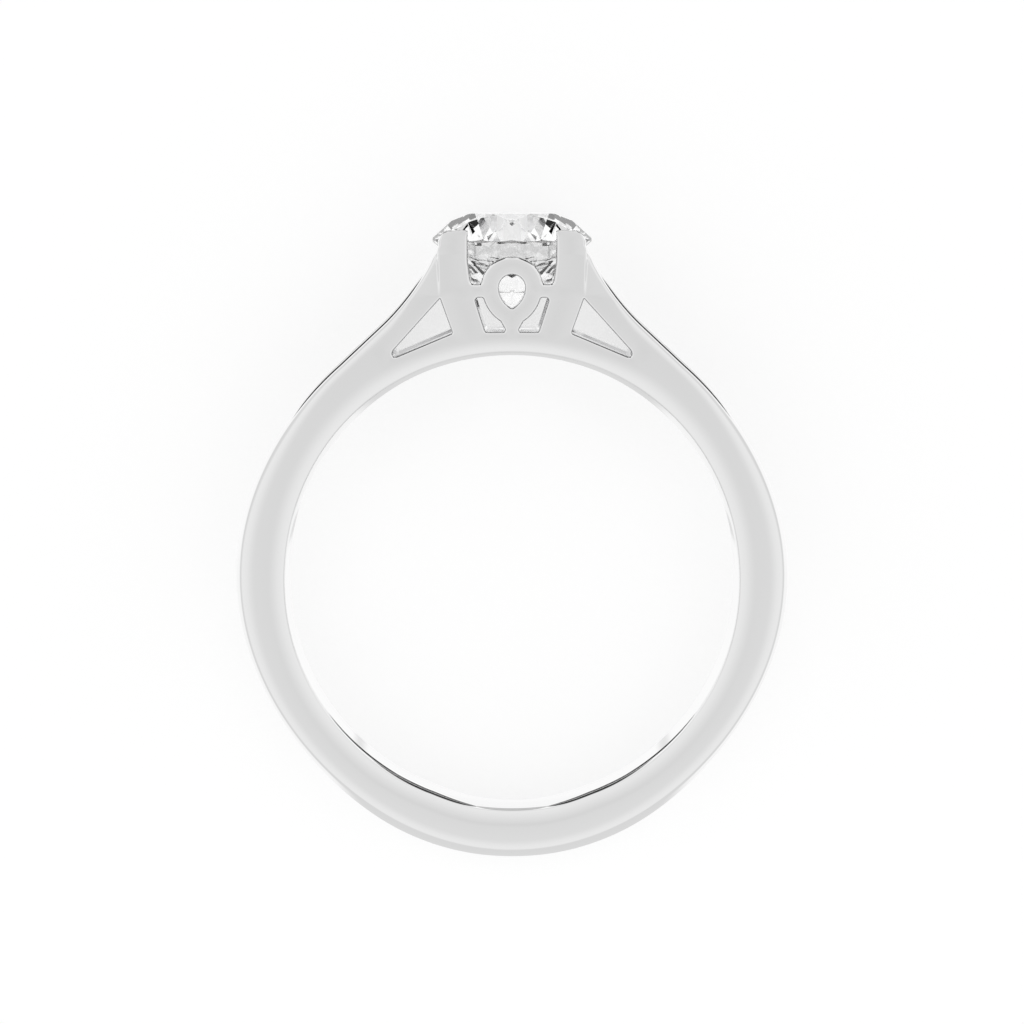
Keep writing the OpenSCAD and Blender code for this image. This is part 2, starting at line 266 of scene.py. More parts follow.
# %% [markdown]
# ## The inner face
# Above the palm the band parts into a front and a back strand. The front strand's hidden face is
# a height over the same flat figure. It starts at a round root on the middle plane, opens like a
# wedge, and then follows the front at an even thickness. Between the prongs the plate is thinner,
# under the head a solid base joins both strands, and the stone's seat is hollowed out of all of it.

# %% Height of the inner face over the middle plane
SPLIT_Y, ROOT_R, FULL_Y, STRAND_T = 5.4, 0.25, 8.6, 1.25
PLATE_T, PLATE_X = 0.85, 1.48
BASE_X, BASE_TOP = 1.76, 9.18
STEP = 0.02
STONE_R, GIRDLE_Y, GIRDLE_T = 2.9, 12.43, 0.12
SEAT_GAP = 0.006
CROWN_SLOPE = 0.9
PAVILION = np.radians(40.2)
root_y = SPLIT_Y + ROOT_R
full_gap = half_width(FULL_Y) - STRAND_T
wedge = np.arctan2(full_gap - ROOT_R, FULL_Y - root_y)
wedge_start = root_y - ROOT_R * np.sin(wedge)
root_z = ROOT_R * np.cos(wedge)


def seat_radius(y):
    """Radius of the stone's seat at height y: the girdle's radius, less a cone below it and a
    steep cone above it."""
    r = STONE_R + SEAT_GAP
    below = r - (GIRDLE_Y - GIRDLE_T / 2 - y) / np.tan(PAVILION)
    above = r - (y - GIRDLE_Y - GIRDLE_T / 2) / CROWN_SLOPE
    return np.minimum(r, np.minimum(below, above))


def inner_height(x, y):
    """Distance of the front strand's hidden face from the middle plane: 0 below the split, then
    the root's arc, a straight wedge, and the front's distance less the strand's thickness."""
    x = np.abs(x)
    root = np.sqrt(np.clip(ROOT_R**2 - (y - root_y) ** 2, 0, None))
    straight = root_z + (y - wedge_start) * (full_gap - root_z) / (FULL_Y - wedge_start)
    opened = np.where(y < FULL_Y, straight, half_width(y) - STRAND_T)
    gap = np.where(y <= SPLIT_Y, 0, np.where(y < wedge_start, root, opened))
    in_plate = np.clip((PLATE_X + STEP - x) / STEP, 0, 1) * np.clip((y - BASE_TOP) / STEP, 0, 1)
    gap = gap + in_plate * (STRAND_T - PLATE_T)
    beside_base = np.maximum(np.clip((x - BASE_X) / STEP, 0, 1), np.clip((y - BASE_TOP) / STEP, 0, 1))
    gap = gap * np.where(y > 7, beside_base, 1)
    r = seat_radius(y)
    stone = np.where((y > 9.5) & (r > x), np.sqrt(np.clip(r**2 - x**2, 0, None)), 0)
    return np.maximum(gap, stone)


prong_t = half_width(GIRDLE_Y) - inner_height(1.9, GIRDLE_Y)
print("thickness of a prong at the girdle:", round(float(prong_t), 2), "mm")

# %% [markdown]
# ## Carrying an edge profile along an outline
# Every edge of the ring has the same build. The face curves over by a small round, and then the
# wall goes straight in to the hidden face. Along the shank the face is also softly domed towards
# the edge, and the wall bulges, as it does on a ring that is comfortable to wear. A small bulge is
# shallow too. A mirror finish shows every kink, so dome, round and bulge meet at one slope. One
# function carries that profile along a loop: each row of points is the loop moved into the metal
# by a distance, at its own height.

# %% The edge profile
EDGE_R = 0.08
HEAD_EDGE_R = 0.11
DOME_TILT = np.radians(21)
DOME_SHARES = (1, 0.8, 0.6, 0.42, 0.26, 0.12, 0)
WALL_SHARES = (0.012, 0.05, 0.11, 0.18, 0.27, 0.38, 0.52, 0.7, 1)
ARC_ROWS = 7
BULGE_DEPTH, FULL_BULGE = 0.9, 0.15
ARM_Y, ARM_H, ARM_NARROWER, ARM_ROUNDER = 9.4, 2.6, 0.17, 0.01
BULGE_FADE_H = 0.8
HEAD_X = 2.665
TIP_LOW, TIP_H, TIP_CRISPER = 12.6, 0.15, 0.07
ARM_STEP, ARM_STEP_LOW, ARM_STEP_H = 0.09, 10.4, 1.6

# Turns from the palm, and the edge's values there
OUTER_DOME = [0, 60, 90, 120, 138], [0.4, 0.4, 0.5, 0.5, 0.3]
OUTER_RADIUS = [0, 30, 90, 120, SHANK_END], [0.12, 0.11, 0.1, 0.1, 0.08]
BULGE_TURNS = [0, 10, 25, 35, 45, 60, 90, 105, 120, 135]
OUTER_BULGE = BULGE_TURNS, [0.26, 0.285, 0.29, 0.235, 0.185, 0.15, 0.15, 0.12, 0.07, 0.04]
OUTER_STEEPER = [0, 95, 130], [1, 1, 1.36]
HOLE_RADIUS = [0, 12, 25, 35, 50, 90], [0.17, 0.22, 0.26, 0.24, 0.15, 0.1]
# Heights, and the width of the hole's dome there
HOLE_DOME = [7, 7.9], [0.6, 0.46]


def into_metal(loop):
    """Unit normals on the left of a closed loop: the direction between its two neighbours, turned
    by a quarter."""
    along = np.roll(loop, -1, axis=0) - np.roll(loop, 1, axis=0)
    along /= np.linalg.norm(along, axis=1, keepdims=True)
    return np.stack([-along[:, 1], along[:, 0]], 1)


def prong_edge(y):
    """Distance of the prong's outer edge from the middle, which widens evenly with the height."""
    return np.interp(y, [BAY_FLOOR - 0.5, PRONG_TOP], PRONG_OUT)


def arm_step(x, y):
    """How far the upper arm lies behind the prong beside it: nothing at the triangle's top, and
    more towards the arm's end, over a narrow slope along the prong's outer edge."""
    t = np.clip((np.abs(x) - prong_edge(y)) / ARM_STEP, 0, 1)
    return t * t * (3 - 2 * t) * ARM_STEP * np.clip((y - ARM_STEP_LOW) / ARM_STEP_H, 0, 1)


def front_height(x, y, drop):
    """Height of the front face: the side plane, less the drop of the edge and the arm's step."""
    return half_width(y) - drop - arm_step(x, y)


def edge_rows(loop, dome_w, edge_r, bulge, steeper=1):
    """Rows of 3-D points along a loop, from the flat of the front over the edge to the inner face.
    The dome is a parabola over its width that ends at the dome's tilt, the wall's bulge is a
    parabola over its depth, and the edge is an arc of edge_r from the one slope to the other."""
    normal = into_metal(loop)
    dome_w, edge_r, bulge = (np.broadcast_to(value, len(loop)) for value in (dome_w, edge_r, bulge))
    tilt = DOME_TILT * steeper * np.clip(dome_w / 0.1, 0, 1)
    bulge_depth = BULGE_DEPTH * np.clip(bulge / FULL_BULGE, 0.1, 1)
    last_tilt = np.arctan2(bulge_depth, 2 * bulge)
    drop_all = dome_w * np.tan(tilt) / 2
    arc_w = edge_r * (np.sin(last_tilt) - np.sin(tilt))
    rows = [(arc_w + dome_w * share, drop_all * (1 - share) ** 2) for share in DOME_SHARES]
    for share in np.linspace(0, 1, ARC_ROWS + 1)[1:]:
        a = tilt + (last_tilt - tilt) * share
        drop = drop_all + edge_r * (np.cos(tilt) - np.cos(a))
        rows.append((edge_r * (np.sin(last_tilt) - np.sin(a)), drop))
    made = []
    for d, drop in rows:
        p = loop + normal * d[:, None]
        made.append(np.column_stack([p, front_height(p[:, 0], p[:, 1], drop)]))
    top = made[-1][:, 2]
    wall = np.maximum(top - inner_height(loop[:, 0], loop[:, 1]), 0)
    for share in WALL_SHARES:
        depth = wall * share
        out = bulge * (1 - np.clip(1 - depth / bulge_depth, 0, 1) ** 2)
        p = loop - normal * out[:, None]
        z = top - depth if share < 1 else inner_height(p[:, 0], p[:, 1])
        made.append(np.column_stack([p, z]))
    return np.stack(made)


def eased(turn, turns, values):
    """Values round the ring with no sharp bends: the mean, over ten degrees about each turn, of
    straight lines between the given ones."""
    spread = np.linspace(-5, 5, 11)
    return np.interp(np.abs(turn[:, None] + spread), turns, values).mean(1)


def palm_turn(x, y):
    """Turn in degrees round the hole, from the palm, the same on both sides."""
    return np.degrees(np.arctan2(np.abs(x), -y))


def outer_edge(x, y):
    """Dome width, edge radius, bulge, and how much steeper the dome ends, at points of the outer
    outline. Each goes through a few values round the shank, then up the shoulder and the arm. The
    dome also narrows with the arm beside the prong, where it leaves a quarter of the arm's
    width and one edge radius free. The bulge fades out up to the prong's foot. On the head there
    is no dome or bulge, and the prongs' tops have crisper edges."""
    turn = palm_turn(x, y)
    arm = np.maximum(y - ARM_Y, 0)
    dome = eased(turn, *OUTER_DOME) - ARM_NARROWER * np.clip(arm, 0, 1)
    arm_w = np.abs(x) - np.interp(y, [ARM_STEP_LOW, PRONG_TOP], PRONG_OUT)
    dome = np.where(y < ARM_STEP_LOW, dome, np.clip(0.75 * arm_w - EDGE_R, 0, dome))
    radius = np.interp(turn, *OUTER_RADIUS) + ARM_ROUNDER * np.clip(arm / ARM_H, 0, 1)
    bulge = eased(turn, *OUTER_BULGE) * np.clip((prong_foot[1] - y) / BULGE_FADE_H, 0, 1)
    head = (np.abs(x) < HEAD_X) & (y > 0)
    head_radius = HEAD_EDGE_R - TIP_CRISPER * np.clip((y - TIP_LOW) / TIP_H, 0, 1)
    radius = np.where(head, head_radius, radius)
    return np.where(head, 0, dome), radius, np.where(head, 0, bulge), eased(turn, *OUTER_STEEPER)


def hole_edge(x, y):
    """The first three for the finger hole: its dome narrows under the head, its edge is rounder
    near the palm, and its wall bulges in from the rim to the true hole."""
    turn = palm_turn(x, y)
    throat = HOLE_R + 0.055 * smooth_step(turn, 130, 160)
    return np.interp(y, *HOLE_DOME), eased(turn, *HOLE_RADIUS), np.hypot(x, y) - throat


bands = [edge_rows(outer, *outer_edge(*outer.T)), edge_rows(holes[0], *hole_edge(*holes[0].T))]
bands += [edge_rows(loop - into_metal(loop) * EDGE_R / 2, 0, EDGE_R, 0) for loop in holes[1:]]
print("rows of points across each edge:", bands[0].shape[0])

# %% [markdown]
# ## Filling the flats
# Inside the innermost rows the front is flat, and the hidden face is a simple height. Both are
# filled with triangles between the loops. A constrained Delaunay triangulation keeps every edge
# of the loops and makes well shaped triangles between them, and those inside a hole are dropped.


# %% Triangles between loops
def inside(points, loop):
    """True where a ray to the right of a point crosses the loop an odd number of times."""
    ahead = np.roll(loop, -1, axis=0)
    y = points[:, 1][:, None]
    crosses = (loop[:, 1] > y) != (ahead[:, 1] > y)
    rise = np.where(ahead[:, 1] == loop[:, 1], 1, ahead[:, 1] - loop[:, 1])
    at = loop[:, 0] + (y - loop[:, 1]) * (ahead[:, 0] - loop[:, 0]) / rise
    return ((crosses & (at > points[:, 0][:, None])).sum(1) % 2) == 1


def in_metal(points, loops):
    """True inside the first loop and outside all the others."""
    return inside(points, loops[0]) & ~np.any([inside(points, loop) for loop in loops[1:]], axis=0)


def fill(loops, extra=np.empty((0, 2)), extra_edges=()):
    """Triangles of the metal between the loops, through extra points and along extra edges, which
    are pairs of places in the list of all loops' points and then the extra ones."""
    loops = [np.float32(loop).astype(float) for loop in loops]
    counts = np.cumsum([0] + [len(loop) for loop in loops])
    places = [np.arange(len(loop)) + first for loop, first in zip(loops, counts)]
    edges = [np.stack([place, np.roll(place, -1)], 1) for place in places]
    if len(extra_edges):
        edges.append(np.array(extra_edges))
    flat = np.concatenate([*loops, extra])
    made = delaunay_2d_cdt([Vector(p) for p in flat.tolist()], np.concatenate(edges).tolist(), [], 0, 1e-7)
    xy = np.array([tuple(p) for p in made[0]])
    triangles = np.array(made[2])
    return xy, triangles[in_metal(xy[triangles].mean(1), loops)]


# %% [markdown]
# The hidden face bends along straight lines: the rows of the split's root, the wedge's end, the
# outline of the base and the plate's step. Every line is an edge of the triangles, and it ends in
# a point of each wall that it meets, so the walls get a column of points there. The seat is
# curved, and takes a grid of points instead.

# %% The lines and points of the inner face
root_rows = root_y - ROOT_R * np.cos(np.linspace(0, np.pi / 2 - wedge, 9))
BEND_LINES = [("y", y, 0, 11) for y in (*root_rows, FULL_Y)]
BEND_LINES += [("y", y, 0, BASE_X + STEP) for y in (BASE_TOP, BASE_TOP + STEP)]
BEND_LINES += [("x", x, 7, BASE_TOP + STEP) for x in (BASE_X, BASE_X + STEP)]
BEND_LINES += [("x", x, BASE_TOP, 11.4) for x in (PLATE_X, PLATE_X + STEP)]


def with_column(band, axis, value, low, high):
    """A band with a column of points wherever its last row crosses a line: each row is
    interpolated between the two columns beside the crossing."""
    k = 0 if axis == "x" else 1
    for side in (1, -1) if axis == "x" else (1,):
        last = band[-1][:, :2]
        gap = last[:, k] - side * value
        ahead = np.roll(gap, -1)
        other = np.abs(last[:, 1 - k])
        crosses = (gap * ahead < 0) & (np.minimum(np.abs(gap), np.abs(ahead)) > 1e-4)
        on_line = (other > low - 0.1) & (other < high + 0.1) & (last[:, 1] > 0)
        at = np.flatnonzero(crosses & on_line)
        t = (gap[at] / (gap[at] - ahead[at]))[None, :, None]
        band = np.insert(band, at + 1, band[:, at] * (1 - t) + np.roll(band, -1, axis=1)[:, at] * t, axis=1)
    return band


for name, value, low, high in BEND_LINES:
    bands = [with_column(band, name, value, low, high) for band in bands]
for band in bands:
    band[-1][:, 2] = inner_height(band[-1][:, 0], band[-1][:, 1])
inner_loops = [band[-1][:, :2] for band in bands]
loop_points = np.concatenate(inner_loops)
extra, bend_edges = [], []
for name, value, low, high in BEND_LINES:
    k = 0 if name == "x" else 1
    for side in (1, -1):
        level = side * value if name == "x" else value
        on = np.flatnonzero((np.abs(loop_points[:, k] - level) < MERGE) & (loop_points[:, 1] > 0))
        along = loop_points[on, 1 - k] * (1 if name == "x" else side)
        keep = (along > low - 1e-3) & (along < high + 1e-3)
        stops = [(a, int(i)) for a, i in zip(along[keep], on[keep])]
        for end in (low, high):
            point = [level, end] if name == "x" else [side * end, level]
            if in_metal(np.array([point]), inner_loops)[0]:
                stops.append((end, len(loop_points) + len(extra)))
                extra.append(point)
        stops.sort()
        for (a, i), (b, j) in zip(stops, stops[1:]):
            middle = [level, (a + b) / 2] if name == "x" else [side * (a + b) / 2, level]
            if b - a > 1e-3 and in_metal(np.array([middle]), inner_loops)[0]:
                bend_edges.append((i, j))
print("edges along the bends:", len(bend_edges), "and points along the walls:", len(loop_points))

# %% The flat of the front, and the inner face
prong_line = np.linspace(10.5, prong_foot[1], 19)
slope_rows = [prong_edge(prong_line) + off for off in (-0.03, 0, 0.03, 0.06, 0.09, 0.12)]
slope_right = np.concatenate([np.stack([row, prong_line], 1) for row in slope_rows])
slope_points = np.concatenate([slope_right, slope_right * [-1, 1]])
flat_loops = [band[0][:, :2] for band in bands]
slope_points = slope_points[in_metal(slope_points, flat_loops)]
flat_xy, flat_triangles = fill(flat_loops, slope_points)
print("triangles in the flat of the front:", len(flat_triangles))


def near_any(points, loops, distance):
    """True where a point lies closer than the distance to a point of any loop."""
    every = np.concatenate(loops)
    parts = np.array_split(points, 20)
    return np.concatenate([np.linalg.norm(part[:, None] - every, axis=2).min(1) for part in parts]) < distance


grid_rows = np.concatenate([np.arange(11.2, 12.3, 0.08), np.arange(12.3, 12.78, 0.03)])
grid_x, grid_y = np.meshgrid(np.arange(-2.64, 2.65, 0.11), grid_rows)
seat_points = np.stack([grid_x.ravel(), grid_y.ravel()], 1)
seat_points = seat_points[in_metal(seat_points, inner_loops)]
seat_points = seat_points[~near_any(seat_points, inner_loops, 0.04)]
inner_xy, inner_triangles = fill(inner_loops, np.concatenate([np.array(extra), seat_points]), bend_edges)
inner_z = inner_height(inner_xy[:, 0], inner_xy[:, 1])
inner_z[inner_z < 1e-3] = 0
inner_triangles = inner_triangles[(inner_z[inner_triangles] > 0).any(1)]
print("triangles in the inner face:", len(inner_triangles))

# %% [markdown]
# ## The mount
# The rows of every edge band become quads, the two fills become triangles, and the whole is
# mirrored to the back. Points that fall together are merged, which closes the mesh. Edges that
# turn by more than 35 degrees stay sharp, and all others are shaded smooth.


# %% Joining everything into one closed mesh
def band_quads(rows, loop_length, start):
    """Quads between neighbouring rows of a closed band."""
    r, i = np.meshgrid(np.arange(rows - 1), np.arange(loop_length), indexing="ij")
    j = (i + 1) % loop_length
    row = start + r * loop_length
    next_row = row + loop_length
    return np.stack([row + i, next_row + i, next_row + j, row + j], -1).reshape(-1, 4)


def lay_mesh(mesh):
    """Moves a mesh from the upright ring's millimetres to its place on the table."""
    points = np.empty(3 * len(mesh.vertices))
    mesh.vertices.foreach_get("co", points)
    mesh.vertices.foreach_set("co", laid(points.reshape(-1, 3)).ravel())
    mesh.update()


def closed_mesh(name, vertices, faces, merge, sawn_and_shaded=0, sharp=35):
    """A mesh from upright points, with doubles merged, normals outwards, and laid on the table. Its attribute
    marks the sawn metal, which is rougher and also painted darker as shade."""
    mesh = bpy.data.meshes.new(name)
    mesh.from_pydata(vertices.tolist(), [], faces)
    # The attribute also marks where the metal's colour is painted darker as shade
    layer = mesh.attributes.new("sawn_and_shaded", "FLOAT", "POINT")
    layer.data.foreach_set("value", np.broadcast_to(np.float32(sawn_and_shaded), len(vertices)))
    work = bmesh.new()
    work.from_mesh(mesh)
    bmesh.ops.remove_doubles(work, verts=work.verts, dist=merge)
    bmesh.ops.dissolve_degenerate(work, edges=work.edges, dist=merge)
    bmesh.ops.recalc_face_normals(work, faces=work.faces)
    open_edges = sum(len(e.link_faces) != 2 for e in work.edges)
    work.to_mesh(mesh)
    work.free()
    lay_mesh(mesh)
    mesh.shade_smooth()
    mesh.set_sharp_from_angle(angle=np.radians(sharp))
    piece = bpy.data.objects.new(name, mesh)
    bpy.context.scene.collection.objects.link(piece)
    print(name, "has", len(mesh.polygons), "faces and", open_edges, "edges that aren't shared by two")
    return piece


# In the pierced openings, a band's rows from this one on are sawn metal, rougher and painted darker as shade
SAWN_SHADED_ROW = 9
vertices, faces, sawn_and_shaded, start = [], [], [], 0
for number, band in enumerate(bands):
    rows, count = band.shape[:2]
    vertices.append(band.reshape(-1, 3))
    sawn_and_shaded.append(np.repeat((np.arange(rows) >= SAWN_SHADED_ROW) & (number > 1), count))
    faces += band_quads(rows, count, start).tolist()
    start += rows * count
flat_z = front_height(flat_xy[:, 0], flat_xy[:, 1], 0)
for xy, triangles, z in ((flat_xy, flat_triangles, flat_z), (inner_xy, inner_triangles, inner_z)):
    vertices.append(np.column_stack([xy, z]))
    sawn_and_shaded.append(np.zeros(len(xy), bool))
    faces += (triangles + start).tolist()
    start += len(xy)
front = np.concatenate(vertices)
both = np.concatenate([front, front * [1, 1, -1]])
faces += [[i + len(front) for i in face] for face in faces]
mount = closed_mesh("mount", both, faces, MERGE, np.tile(np.concatenate(sawn_and_shaded), 2))

# %% [markdown]
# ## The side rails
# Two plain bars join the front and the back prong on each side, under the stone. Each is a bar of
# rectangular section with rounded edges, whose ends are buried in the prongs.

# %% The side rails
RAIL_IN, RAIL_OUT, RAIL_LOW, RAIL_HIGH = 1.75, 2.45, 10.45, 10.95
rail_corners = (RAIL_IN, RAIL_LOW), (RAIL_OUT, RAIL_LOW), (RAIL_OUT, RAIL_HIGH), (RAIL_IN, RAIL_HIGH)
rail_section = rounded([(x, y, EDGE_R) for x, y in rail_corners])
rail_half = half_width(RAIL_LOW) - STRAND_T / 2


def bar(section, half_length):
    """A closed bar along z: the section at both ends, quads between them and a cap on each."""
    n = len(section)
    ends = [np.column_stack([section, np.full(n, z)]) for z in (-half_length, half_length)]
    k = np.arange(n)
    quads = np.stack([k, (k + 1) % n, (k + 1) % n + n, k + n], 1).tolist()
    return np.concatenate(ends), quads + [k[::-1].tolist(), (k + n).tolist()]


rails = []
for side, name in ((1, "side_rail_right"), (-1, "side_rail_left")):
    points, quads = bar(rail_section, rail_half)
    rails.append(closed_mesh(name, points * [side, 1, 1], quads, 1e-5))

# %% [markdown]
# ## The stone
# A round brilliant is cut, not moulded: each facet is ground flat on a wheel. So the stone starts
# as a round blank, and every facet is a plane that cuts a slice off it. There are one table, eight
# stars, eight kites and sixteen upper girdle facets above the girdle, and eight mains and sixteen
# lower girdle facets below it. A plane is given by three points that it passes through.

# %% The planes of the facets
TABLE_R = STONE_R * 0.57
CROWN = np.radians(36)
UPPER_Y, LOWER_Y = GIRDLE_Y + GIRDLE_T / 2, GIRDLE_Y - GIRDLE_T / 2
HALF_STEP = np.cos(np.radians(22.5))
TABLE_Y = UPPER_Y + (STONE_R - TABLE_R) * np.tan(CROWN)
STAR_R = (TABLE_R * HALF_STEP + STONE_R) / 2
STAR_Y = UPPER_Y + (STONE_R - STAR_R * HALF_STEP) * np.tan(CROWN)
PIT_R = STONE_R * 0.23
PIT_Y = LOWER_Y - (STONE_R - PIT_R * HALF_STEP) * np.tan(PAVILION)
CULET_Y = LOWER_Y - STONE_R * np.tan(PAVILION)


def at(turn, r, y):
    """The point at an angle round the stone's axis, in degrees, at a radius and height."""
    return np.array([r * np.cos(np.radians(turn)), y, -r * np.sin(np.radians(turn))])


facets = [(at(0, 1, TABLE_Y), at(90, 1, TABLE_Y), at(180, 1, TABLE_Y))]
for turn in range(0, 360, 45):
    star, next_star = at(turn, STAR_R, STAR_Y), at(turn + 45, STAR_R, STAR_Y)
    pit, next_pit = at(turn, PIT_R, PIT_Y), at(turn + 45, PIT_R, PIT_Y)
    table_corner = at(turn + 22.5, TABLE_R, TABLE_Y)
    facets.append((at(turn - 22.5, TABLE_R, TABLE_Y), table_corner, star))
    facets.append((table_corner, star, next_star))
    facets.append((at(0, 0, CULET_Y), pit, next_pit))
    for break_turn in (turn + 22.5, turn - 22.5):
        facets.append((star, at(turn, STONE_R, UPPER_Y), at(break_turn, STONE_R, UPPER_Y)))
        facets.append((pit, at(turn, STONE_R, LOWER_Y), at(break_turn, STONE_R, LOWER_Y)))
print("facets:", len(facets), "table at", round(TABLE_Y, 3), "culet at", round(CULET_Y, 3))

# %% Cutting the blank
blank_ring = np.radians(np.linspace(0, 360, 96, endpoint=False))
blank_circle = np.stack([STONE_R * np.cos(blank_ring), STONE_R * np.sin(blank_ring)], 1)
blank_points, blank_faces = bar(blank_circle, (TABLE_Y - CULET_Y) / 2 + 0.1)
blank_points = blank_points[:, [0, 2, 1]] + [0, (TABLE_Y + CULET_Y) / 2, 0]
stone_mesh = bpy.data.meshes.new("stone")
stone_mesh.from_pydata(blank_points.tolist(), [], blank_faces)
work = bmesh.new()
work.from_mesh(stone_mesh)
stone_middle = np.array([0, GIRDLE_Y, 0])
for a, b, c in facets:
    normal = np.cross(b - a, c - a)
    normal *= np.sign(normal @ (a - stone_middle)) / np.linalg.norm(normal)
    whole = work.verts[:] + work.edges[:] + work.faces[:]
    cut = bmesh.ops.bisect_plane(work, geom=whole, dist=1e-5, plane_co=a, plane_no=normal, clear_outer=True)
    rim = [e for e in cut["geom_cut"] if isinstance(e, bmesh.types.BMEdge)]
    if len(rim) > 2:
        bmesh.ops.edgenet_fill(work, edges=rim)
bmesh.ops.remove_doubles(work, verts=work.verts, dist=MERGE)
bmesh.ops.dissolve_limit(work, angle_limit=np.radians(0.2), verts=work.verts, edges=work.edges)
bmesh.ops.recalc_face_normals(work, faces=work.faces)
stone_open = sum(len(e.link_faces) != 2 for e in work.edges)
work.to_mesh(stone_mesh)
work.free()
face_normals = np.empty(3 * len(stone_mesh.polygons))
stone_mesh.polygons.foreach_get("normal", face_normals)
layer = stone_mesh.attributes.new("girdle", "FLOAT", "FACE")
layer.data.foreach_set("value", (np.abs(face_normals[1::3]) < 0.1).astype(np.float32))
lay_mesh(stone_mesh)
stone = bpy.data.objects.new("stone", stone_mesh)
bpy.context.scene.collection.objects.link(stone)
print("stone has", len(stone_mesh.polygons), "faces and", stone_open, "open edges")

# %% [markdown]
# ## Polished white metal
# White gold and platinum are polished to a mirror. What the eye sees on them is the room, so the
# colour is nearly neutral, the roughness very low, and the only texture is the faint haze of a
# polishing wheel, which varies the roughness a little from place to place. No wheel reaches into
# the pierced openings, so their walls keep the saw's finish, which is rougher. Their colour is also
# painted a little darker, as painted shade in the openings. The mesh says where with its attribute.


# %% The metal
def new_material(name):
    """A material with only a Principled shader in it, its shader and its node tree."""
    material = bpy.data.materials.new(name)
    material.use_nodes = True
    return material, material.node_tree.nodes["Principled BSDF"], material.node_tree


# The second colour is darker than the polished one: painted shade on the walls of the openings
POLISHED, SAWN_SHADED = (0.93, 0.93, 0.93, 1), (0.76, 0.76, 0.765, 1)
metal, metal_shader, tree = new_material("polished white metal")
metal_shader.inputs["Metallic"].default_value = 1
coordinates = tree.nodes.new("ShaderNodeTexCoord")
haze = tree.nodes.new("ShaderNodeTexNoise")
haze.inputs["Scale"].default_value = 900
haze.inputs["Detail"].default_value = 4
to_roughness = tree.nodes.new("ShaderNodeMapRange")
to_roughness.inputs["To Min"].default_value = 0.03
to_roughness.inputs["To Max"].default_value = 0.07
tree.links.new(coordinates.outputs["Object"], haze.inputs["Vector"])
tree.links.new(haze.outputs["Fac"], to_roughness.inputs["Value"])
is_sawn_and_shaded = tree.nodes.new("ShaderNodeAttribute")
is_sawn_and_shaded.attribute_name = "sawn_and_shaded"
# The attribute turns the colour darker on the sawn walls, as painted shade
to_colour = tree.nodes.new("ShaderNodeValToRGB")
to_colour.color_ramp.elements[0].color = POLISHED
to_colour.color_ramp.elements[1].color = SAWN_SHADED
rougher = tree.nodes.new("ShaderNodeMath")
rougher.operation = "MULTIPLY_ADD"
rougher.inputs[1].default_value = 0.2
tree.links.new(is_sawn_and_shaded.outputs["Fac"], to_colour.inputs["Fac"])
tree.links.new(to_colour.outputs["Color"], metal_shader.inputs["Base Color"])
tree.links.new(is_sawn_and_shaded.outputs["Fac"], rougher.inputs[0])
tree.links.new(to_roughness.outputs["Result"], rougher.inputs[2])
tree.links.new(rougher.outputs[0], metal_shader.inputs["Roughness"])
for piece in (mount, *rails):
    piece.data.materials.append(metal)

# %% [markdown]
# ## The stone's finish
# The stone is clear, and bends light far more than glass does. An index of about 2 turns much of
# the light back inside it, which makes some facets white and their neighbours grey. Its facets are
# polished, but the girdle is left as the grinding wheel made it, frosted all round. The mesh says
# which faces those are with its girdle attribute.

# %% The stone's finish
gem, gem_shader, tree = new_material("clear stone")
gem_shader.inputs["Base Color"].default_value = (1, 1, 1, 1)
gem_shader.inputs["IOR"].default_value = 2.0
gem_shader.inputs["Transmission Weight"].default_value = 1
is_girdle = tree.nodes.new("ShaderNodeAttribute")
is_girdle.attribute_name = "girdle"
frosting = tree.nodes.new("ShaderNodeMath")
frosting.operation = "MULTIPLY"
frosting.inputs[1].default_value = 0.3
tree.links.new(is_girdle.outputs["Fac"], frosting.inputs[0])
tree.links.new(frosting.outputs[0], gem_shader.inputs["Roughness"])
stone.data.materials.append(gem)

# %% [markdown]
# ## The table
# Small jewellery is often photographed on a light table, a pale sheet that glows from below. The
# shadows on it are faint, because most of its brightness is its own. Ring and table are also lit
# apart, as in a catalogue, so the metal doesn't mirror the sheet but the studio round it.

# %% Light table
floor_mesh = bpy.data.meshes.new("light_table")
reach = 0.6
sheet_corners = [(-reach, -reach, 0), (reach, -reach, 0), (reach, reach, 0), (-reach, reach, 0)]
floor_mesh.from_pydata(sheet_corners, [], [(0, 1, 2, 3)])
floor = bpy.data.objects.new("light_table", floor_mesh)
bpy.context.scene.collection.objects.link(floor)
paper, paper_shader, tree = new_material("pale glowing sheet")
paper_shader.inputs["Base Color"].default_value = (0.357, 0.357, 0.357, 1)
paper_shader.inputs["Roughness"].default_value = 1
paper_shader.inputs["Specular IOR Level"].default_value = 0
paper_shader.inputs["Emission Color"].default_value = (1, 1, 1, 1)
paper_shader.inputs["Emission Strength"].default_value = 0.735
floor.data.materials.append(paper)
floor.visible_glossy = False

# %% [markdown]
# ## The studio
# A mirror shows only what stands round it, so lighting polished metal means deciding what each
# direction looks like. Overhead, a little to the palm side, hangs a soft grey patch, which the flat
# sides mirror. Away from it the light gets brighter. Round the sides the surround is white towards
# the head and grey towards the palm, and this draws the bright lines on the upper edges and the
# soft grey ones below. Two black panels stand beside each shoulder, one above the other, and a grey
# one behind the head. They draw the thin dark lines that give white metal its outline on a white
# ground. Light that has passed through the stone meets the panels only faintly and the rest a
# little brighter, as if a small card stood behind it, so that the stone stays clear.

# %% Studio surround
world = bpy.data.worlds.new("studio")
bpy.context.scene.world = world
world.use_nodes = True
sky = world.node_tree
background = sky.nodes["Background"]


